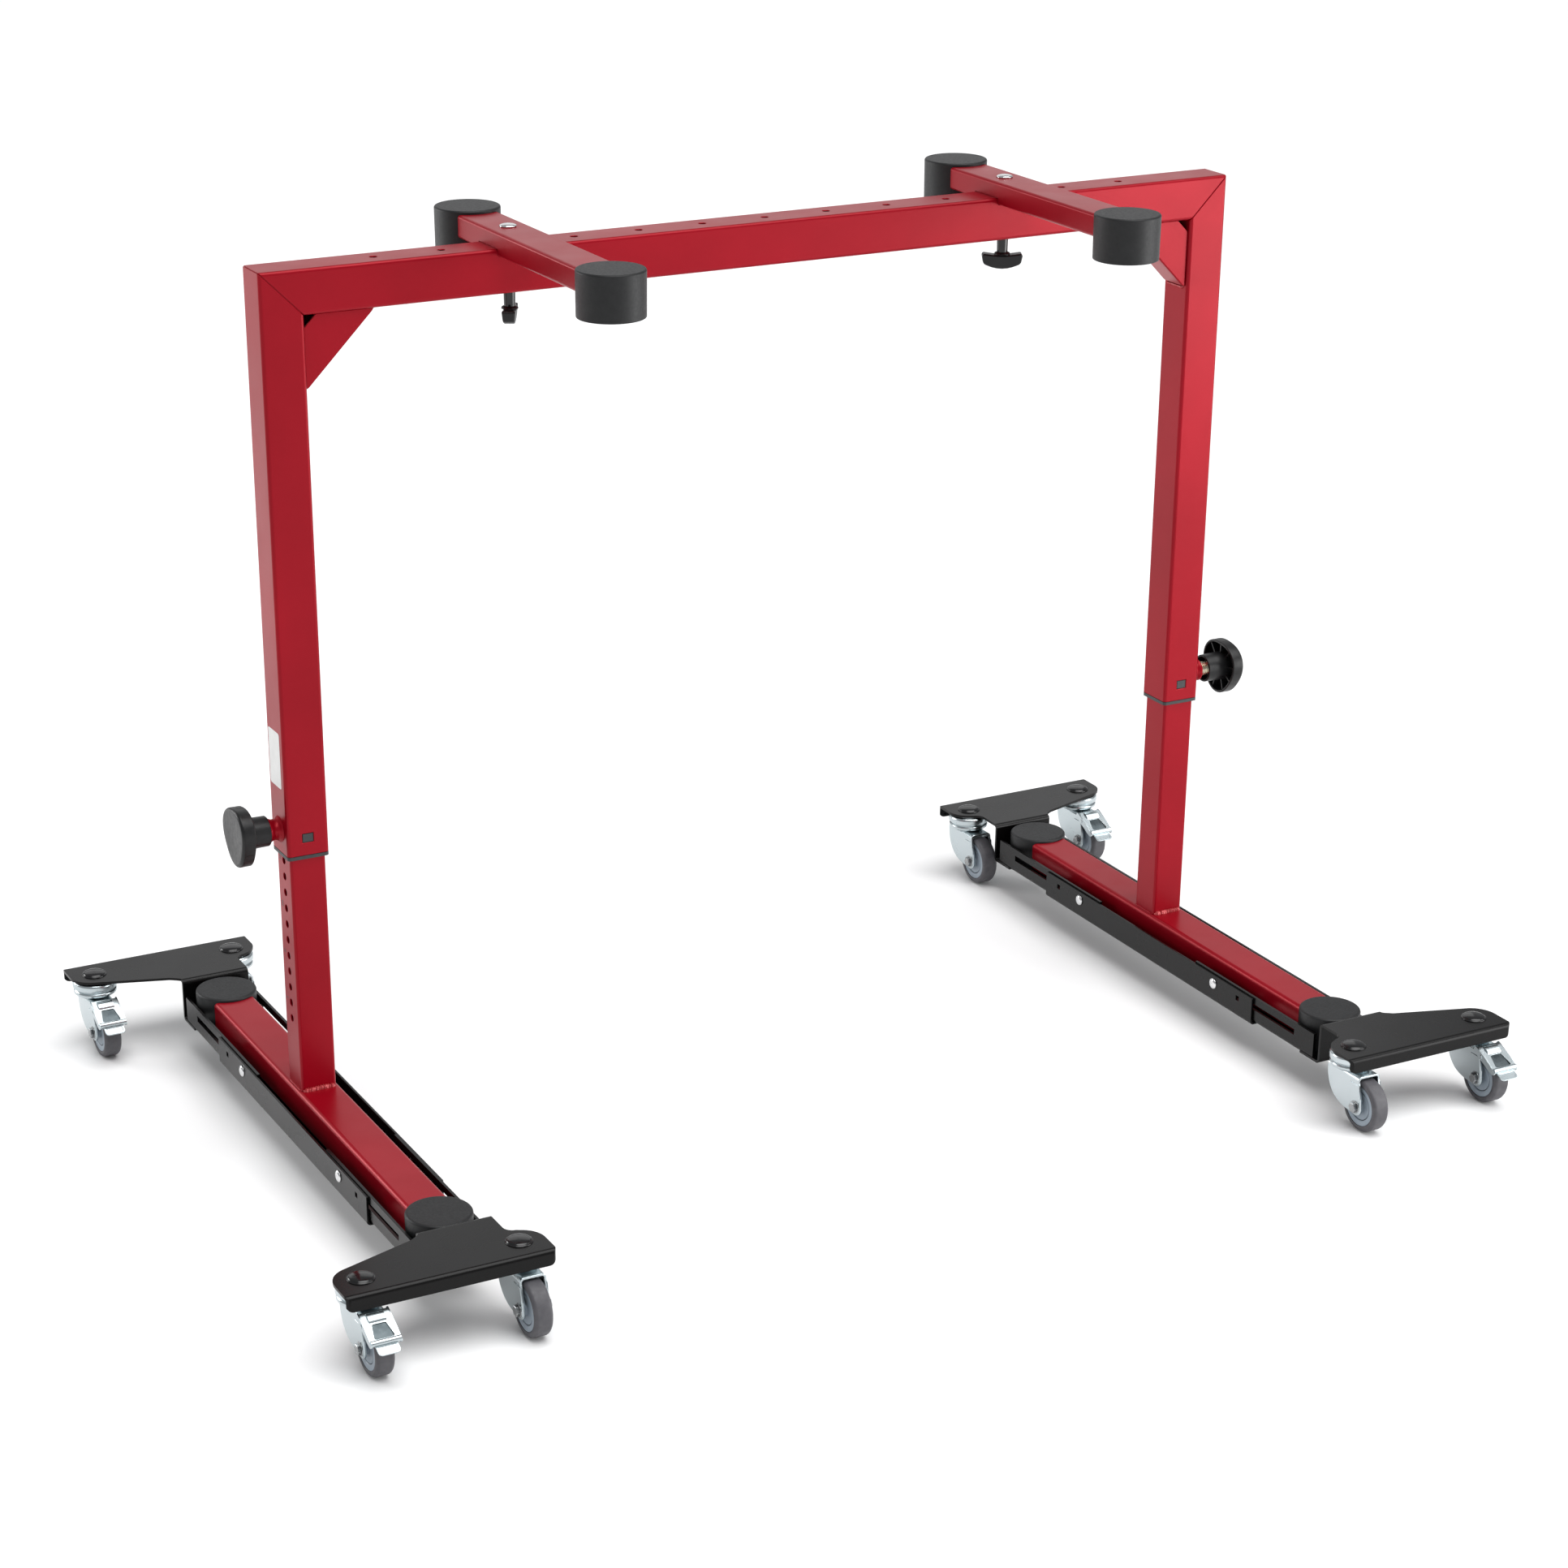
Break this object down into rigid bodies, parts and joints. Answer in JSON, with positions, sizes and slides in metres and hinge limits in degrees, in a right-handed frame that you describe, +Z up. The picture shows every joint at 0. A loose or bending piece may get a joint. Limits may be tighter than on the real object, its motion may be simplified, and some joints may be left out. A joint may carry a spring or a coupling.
{
  "type": "rolling keyboard stand",
  "caption": "Height-adjustable bridge frame with two padded support arms, carried on two extendable castor trolleys, to hold a keyboard or similar instrument.",
  "frame": {"origin": "on the floor, below the middle of the whole object's box", "axes": "+X along the crossbeam, +Z up, -Y the player's side"},
  "size_m": [1.168, 0.7752, 0.824],
  "materials": {
    "ruby_paint": "gloss",
    "black_powder_coat": "satin",
    "black_plastic": "satin",
    "grey_plastic": "matte",
    "black_rubber": "matte",
    "zinc_plate": "satin",
    "bright_steel": "polished",
    "tyre_rubber": "matte"
  },
  "bodies": {
    "bridge": {"crossbeam": "ruby_paint", "left_outer_leg": "ruby_paint", "left_gusset": "ruby_paint", "left_guide_bush": "grey_plastic", "left_pin_boss": "ruby_paint", "left_arm": "ruby_paint", "left_arm_cap_front": "black_rubber", "left_arm_cap_rear": "black_rubber", "left_arm_bolt": "bright_steel", "right_outer_leg": "ruby_paint", "right_gusset": "ruby_paint", "right_guide_bush": "grey_plastic", "right_pin_boss": "ruby_paint", "right_arm": "ruby_paint", "right_arm_cap_front": "black_rubber", "right_arm_cap_rear": "black_rubber", "right_arm_bolt": "bright_steel"},
    "left_leg": {"left_inner_leg": "ruby_paint", "left_foot_tube": "ruby_paint", "left_foot_disc_front": "black_rubber", "left_foot_disc_rear": "black_rubber", "left_trolley_channel": "black_powder_coat"},
    "right_leg": {"right_inner_leg": "ruby_paint", "right_foot_tube": "ruby_paint", "right_foot_disc_front": "black_rubber", "right_foot_disc_rear": "black_rubber", "right_trolley_channel": "black_powder_coat"},
    "left_wing": {"left_wing_knob": "black_plastic"},
    "left_lock": {"left_index_pin": "bright_steel"},
    "left_knob": {"left_height_knob": "black_plastic"},
    "right_wing": {"right_wing_knob": "black_plastic"},
    "right_lock": {"right_index_pin": "bright_steel"},
    "right_knob": {"right_height_knob": "black_plastic"},
    "left_slide_front": {"left_slide_front": "black_powder_coat"},
    "left_front_outboard_caster": {"left_front_outboard_fork": "zinc_plate"},
    "left_front_outboard_roller": {"left_front_outboard_wheel": "tyre_rubber"},
    "left_front_outboard_pedal": {"left_front_outboard_brake": "zinc_plate"},
    "left_front_inboard_caster": {"left_front_inboard_fork": "zinc_plate"},
    "left_front_inboard_roller": {"left_front_inboard_wheel": "tyre_rubber"},
    "left_slide_rear": {"left_slide_rear": "black_powder_coat"},
    "left_rear_outboard_caster": {"left_rear_outboard_fork": "zinc_plate"},
    "left_rear_outboard_roller": {"left_rear_outboard_wheel": "tyre_rubber"},
    "left_rear_outboard_pedal": {"left_rear_outboard_brake": "zinc_plate"},
    "left_rear_inboard_caster": {"left_rear_inboard_fork": "zinc_plate"},
    "left_rear_inboard_roller": {"left_rear_inboard_wheel": "tyre_rubber"},
    "right_slide_front": {"right_slide_front": "black_powder_coat"},
    "right_front_outboard_caster": {"right_front_outboard_fork": "zinc_plate"},
    "right_front_outboard_roller": {"right_front_outboard_wheel": "tyre_rubber"},
    "right_front_outboard_pedal": {"right_front_outboard_brake": "zinc_plate"},
    "right_front_inboard_caster": {"right_front_inboard_fork": "zinc_plate"},
    "right_front_inboard_roller": {"right_front_inboard_wheel": "tyre_rubber"},
    "right_slide_rear": {"right_slide_rear": "black_powder_coat"},
    "right_rear_outboard_caster": {"right_rear_outboard_fork": "zinc_plate"},
    "right_rear_outboard_roller": {"right_rear_outboard_wheel": "tyre_rubber"},
    "right_rear_outboard_pedal": {"right_rear_outboard_brake": "zinc_plate"},
    "right_rear_inboard_caster": {"right_rear_inboard_fork": "zinc_plate"},
    "right_rear_inboard_roller": {"right_rear_inboard_wheel": "tyre_rubber"}
  },
  "joints": [
    {"name": "left_leg_height", "type": "slide", "parent": "left_leg", "child": "bridge", "axis": [0, 0, 1], "range_m": [-0.1818, 0.2424]},
    {"name": "right_leg_height", "type": "slide", "parent": "bridge", "child": "right_leg", "axis": [0, 0, -1], "range_m": [-0.1818, 0.2424]},
    {"name": "left_wing_turn", "type": "hinge", "parent": "bridge", "child": "left_wing", "pos_m": [-0.2452, 0.04757, 0.745], "axis": [0, 0, 1], "continuous": true},
    {"name": "left_lock_pull", "type": "slide", "parent": "bridge", "child": "left_lock", "axis": [-1, 0, 0], "range_m": [-0.005, 0.008]},
    {"name": "left_knob_turn", "type": "hinge", "parent": "left_lock", "child": "left_knob", "pos_m": [-0.457, 0.04757, 0.3174], "axis": [-1, 0, 0], "continuous": true},
    {"name": "right_wing_turn", "type": "hinge", "parent": "bridge", "child": "right_wing", "pos_m": [0.2452, 0.04757, 0.745], "axis": [0, 0, 1], "continuous": true},
    {"name": "right_lock_pull", "type": "slide", "parent": "bridge", "child": "right_lock", "axis": [1, 0, 0], "range_m": [-0.0115, 0.0015]},
    {"name": "right_knob_turn", "type": "hinge", "parent": "right_lock", "child": "right_knob", "pos_m": [0.457, 0.04757, 0.3174], "axis": [1, 0, 0], "continuous": true},
    {"name": "left_front_reach", "type": "slide", "parent": "left_leg", "child": "left_slide_front", "axis": [0, -1, 0], "range_m": [0, 0.02]},
    {"name": "left_front_outboard_swivel", "type": "hinge", "parent": "left_slide_front", "child": "left_front_outboard_caster", "pos_m": [-0.5605, -0.32743, 0.06], "axis": [0, 0, 1], "continuous": true},
    {"name": "left_front_outboard_roll", "type": "hinge", "parent": "left_front_outboard_caster", "child": "left_front_outboard_roller", "pos_m": [-0.5605, -0.35203, 0.025], "axis": [1, 0, 0], "continuous": true},
    {"name": "left_front_outboard_brake_press", "type": "hinge", "parent": "left_front_outboard_caster", "child": "left_front_outboard_pedal", "pos_m": [-0.5605, -0.35353, 0.0525], "axis": [1, 0, 0], "range_deg": [0, 6]},
    {"name": "left_front_inboard_swivel", "type": "hinge", "parent": "left_slide_front", "child": "left_front_inboard_caster", "pos_m": [-0.4214, -0.32743, 0.06], "axis": [0, 0, 1], "continuous": true},
    {"name": "left_front_inboard_roll", "type": "hinge", "parent": "left_front_inboard_caster", "child": "left_front_inboard_roller", "pos_m": [-0.4214, -0.35203, 0.025], "axis": [1, 0, 0], "continuous": true},
    {"name": "left_rear_reach", "type": "slide", "parent": "left_leg", "child": "left_slide_rear", "axis": [0, 1, 0], "range_m": [0, 0.02]},
    {"name": "left_rear_outboard_swivel", "type": "hinge", "parent": "left_slide_rear", "child": "left_rear_outboard_caster", "pos_m": [-0.5605, 0.36057, 0.06], "axis": [0, 0, 1], "continuous": true},
    {"name": "left_rear_outboard_roll", "type": "hinge", "parent": "left_rear_outboard_caster", "child": "left_rear_outboard_roller", "pos_m": [-0.5605, 0.33597, 0.025], "axis": [1, 0, 0], "continuous": true},
    {"name": "left_rear_outboard_brake_press", "type": "hinge", "parent": "left_rear_outboard_caster", "child": "left_rear_outboard_pedal", "pos_m": [-0.5605, 0.33447, 0.0525], "axis": [1, 0, 0], "range_deg": [0, 6]},
    {"name": "left_rear_inboard_swivel", "type": "hinge", "parent": "left_slide_rear", "child": "left_rear_inboard_caster", "pos_m": [-0.4214, 0.36057, 0.06], "axis": [0, 0, 1], "continuous": true},
    {"name": "left_rear_inboard_roll", "type": "hinge", "parent": "left_rear_inboard_caster", "child": "left_rear_inboard_roller", "pos_m": [-0.4214, 0.33597, 0.025], "axis": [1, 0, 0], "continuous": true},
    {"name": "right_front_reach", "type": "slide", "parent": "right_leg", "child": "right_slide_front", "axis": [0, -1, 0], "range_m": [0, 0.02]},
    {"name": "right_front_outboard_swivel", "type": "hinge", "parent": "right_slide_front", "child": "right_front_outboard_caster", "pos_m": [0.5605, -0.32743, 0.06], "axis": [0, 0, 1], "continuous": true},
    {"name": "right_front_outboard_roll", "type": "hinge", "parent": "right_front_outboard_caster", "child": "right_front_outboard_roller", "pos_m": [0.5605, -0.35203, 0.025], "axis": [1, 0, 0], "continuous": true},
    {"name": "right_front_outboard_brake_press", "type": "hinge", "parent": "right_front_outboard_caster", "child": "right_front_outboard_pedal", "pos_m": [0.5605, -0.35353, 0.0525], "axis": [1, 0, 0], "range_deg": [0, 6]},
    {"name": "right_front_inboard_swivel", "type": "hinge", "parent": "right_slide_front", "child": "right_front_inboard_caster", "pos_m": [0.4214, -0.32743, 0.06], "axis": [0, 0, 1], "continuous": true},
    {"name": "right_front_inboard_roll", "type": "hinge", "parent": "right_front_inboard_caster", "child": "right_front_inboard_roller", "pos_m": [0.4214, -0.35203, 0.025], "axis": [1, 0, 0], "continuous": true},
    {"name": "right_rear_reach", "type": "slide", "parent": "right_leg", "child": "right_slide_rear", "axis": [0, 1, 0], "range_m": [0, 0.02]},
    {"name": "right_rear_outboard_swivel", "type": "hinge", "parent": "right_slide_rear", "child": "right_rear_outboard_caster", "pos_m": [0.5605, 0.36057, 0.06], "axis": [0, 0, 1], "continuous": true},
    {"name": "right_rear_outboard_roll", "type": "hinge", "parent": "right_rear_outboard_caster", "child": "right_rear_outboard_roller", "pos_m": [0.5605, 0.33597, 0.025], "axis": [1, 0, 0], "continuous": true},
    {"name": "right_rear_outboard_brake_press", "type": "hinge", "parent": "right_rear_outboard_caster", "child": "right_rear_outboard_pedal", "pos_m": [0.5605, 0.33447, 0.0525], "axis": [1, 0, 0], "range_deg": [0, 6]},
    {"name": "right_rear_inboard_swivel", "type": "hinge", "parent": "right_slide_rear", "child": "right_rear_inboard_caster", "pos_m": [0.4214, 0.36057, 0.06], "axis": [0, 0, 1], "continuous": true},
    {"name": "right_rear_inboard_roll", "type": "hinge", "parent": "right_rear_inboard_caster", "child": "right_rear_inboard_roller", "pos_m": [0.4214, 0.33597, 0.025], "axis": [1, 0, 0], "continuous": true}
  ],
  "couplings": [
    {"joint": "right_leg_height", "follows": "left_leg_height", "ratio": 1}
  ]
}
